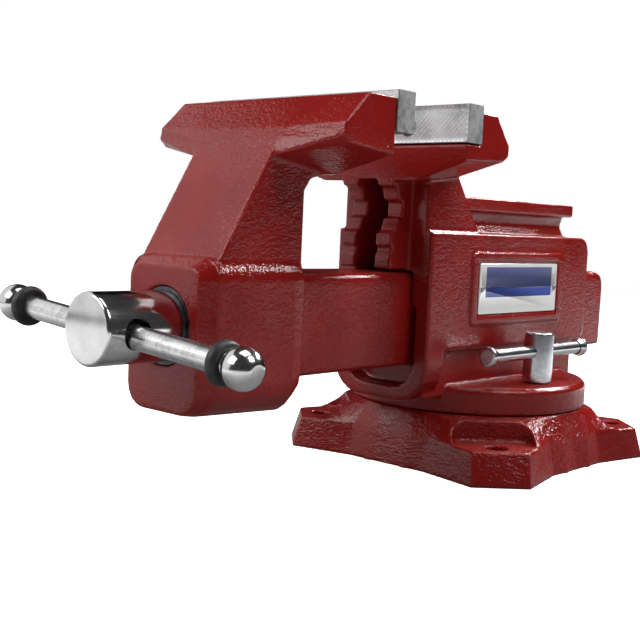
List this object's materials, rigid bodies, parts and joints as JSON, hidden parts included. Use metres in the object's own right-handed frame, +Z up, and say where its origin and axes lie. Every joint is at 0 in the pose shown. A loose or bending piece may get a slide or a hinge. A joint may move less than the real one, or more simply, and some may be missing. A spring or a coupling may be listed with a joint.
{
  "type": "swivel base bench vise",
  "caption": "Cast swivel-base bench vise with serrated steel inserts, a pipe jaw, an anvil, a sliding T-handle and side lock screws.",
  "frame": {"origin": "on the swivel axis, at the underside of the base", "axes": "+Z up, -Y towards the handle at the front, +Y to the rear, +X towards the side with the name plate"},
  "size_m": [0.2287, 0.5374, 0.2556],
  "materials": {
    "red_enamel": "glossy dark red enamel over rough cast iron",
    "insert_steel": "bare hardened steel, serrated face",
    "bright_steel": "polished and turned steel",
    "dark_steel": "black oxide",
    "zinc": "bright zinc plate",
    "black_rubber": "matt rubber",
    "plate_metal": "satin aluminium with a printed blue panel, no text",
    "bronze": "oiled bronze"
  },
  "bodies": {
    "base": {"base_casting": "red_enamel", "swivel_pin": "insert_steel"},
    "swivel_body": {"body_casting": "red_enamel", "fixed_jaw_insert": "insert_steel", "fixed_insert_screw_left": "dark_steel", "fixed_insert_screw_right": "dark_steel", "spindle_nut": "bronze", "nut_bolt": "dark_steel", "name_plate": "plate_metal", "plate_rivet_front": "plate_metal", "plate_rivet_rear": "plate_metal", "lock_nut_left": "dark_steel", "lock_nut_right": "dark_steel"},
    "moving_jaw": {"moving_jaw_casting": "red_enamel", "moving_jaw_insert": "insert_steel", "moving_insert_screw_left": "dark_steel", "moving_insert_screw_right": "dark_steel"},
    "spindle": {"spindle_screw": "bright_steel", "thrust_washer": "dark_steel", "retaining_collar": "dark_steel", "collar_pin": "insert_steel"},
    "handle": {"handle_bar": "bright_steel", "handle_ball_left": "bright_steel", "handle_ball_right": "bright_steel", "handle_bumper_left": "black_rubber", "handle_bumper_right": "black_rubber"},
    "lock_left": {"lock_screw_left": "zinc"},
    "lock_handle_left": {"lock_bar_left": "zinc", "lock_cap_left_front": "zinc", "lock_cap_left_rear": "zinc"},
    "lock_right": {"lock_screw_right": "zinc"},
    "lock_handle_right": {"lock_bar_right": "zinc", "lock_cap_right_front": "zinc", "lock_cap_right_rear": "zinc"}
  },
  "joints": [
    {"name": "swivel", "type": "hinge", "parent": "base", "child": "swivel_body", "pos_m": [0, 0, 0.042], "axis": [0, 0, 1], "continuous": true},
    {"name": "jaw_slide", "type": "slide", "parent": "swivel_body", "child": "moving_jaw", "axis": [0, -1, 0], "range_m": [-0.0562, 0.102]},
    {"name": "spindle_turn", "type": "hinge", "parent": "moving_jaw", "child": "spindle", "pos_m": [0, -0.3504, 0.1112], "axis": [0, -1, 0], "range_deg": [-3187, 5784]},
    {"name": "handle_slide", "type": "slide", "parent": "spindle", "child": "handle", "axis": [0.9969, 0, -0.0792], "range_m": [-0.065, 0.061]},
    {"name": "lock_turn_left", "type": "hinge", "parent": "swivel_body", "child": "lock_left", "pos_m": [-0.066, -0.005, 0.0852], "axis": [0, 0, 1], "range_deg": [-10, 10]},
    {"name": "lock_bar_slide_left", "type": "slide", "parent": "lock_left", "child": "lock_handle_left", "axis": [0, 1, 0], "range_m": [-0.015, 0.015]},
    {"name": "lock_turn_right", "type": "hinge", "parent": "swivel_body", "child": "lock_right", "pos_m": [0.066, -0.005, 0.0852], "axis": [0, 0, 1], "range_deg": [-10, 10]},
    {"name": "lock_bar_slide_right", "type": "slide", "parent": "lock_right", "child": "lock_handle_right", "axis": [0, 1, 0], "range_m": [-0.015, 0.015]}
  ],
  "couplings": [
    {"joint": "spindle_turn", "follows": "jaw_slide", "rad_per_m": 989.48}
  ]
}
